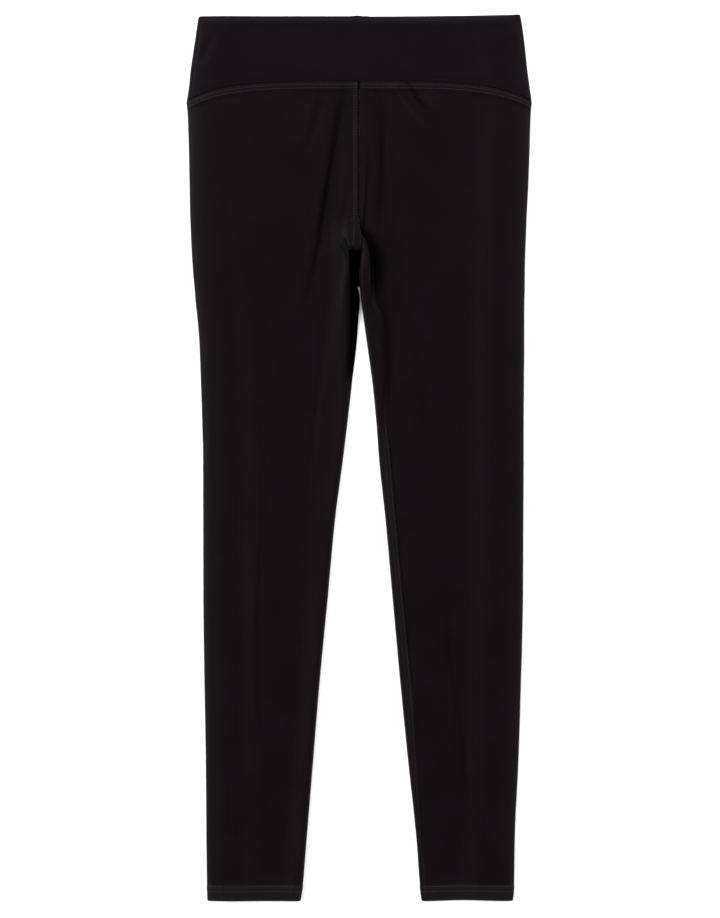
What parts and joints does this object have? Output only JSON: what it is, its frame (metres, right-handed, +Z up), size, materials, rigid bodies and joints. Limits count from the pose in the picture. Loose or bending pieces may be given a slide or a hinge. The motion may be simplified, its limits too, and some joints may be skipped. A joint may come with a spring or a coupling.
{
  "type": "leggings",
  "caption": "Full-length stretch-knit leggings with a wide contoured waistband, lying flat with the front up",
  "frame": {"origin": "middle of the underside of the whole garment, on the surface it lies on", "axes": "X across the garment to the viewer's right, Y from the hems to the waist, Z up from the surface"},
  "size_m": [0.3742, 0.962, 0.0116],
  "materials": {
    "leg_knit": "matt fine stretch jersey with a faint sheen at the folds",
    "waistband_knit": "matt fine stretch jersey, two layers"
  },
  "bodies": {
    "root": {"waistband_front": "waistband_knit", "waistband_back": "waistband_knit", "right_leg": "leg_knit", "left_leg": "leg_knit", "crotch_gusset": "leg_knit"}
  },
  "joints": []
}
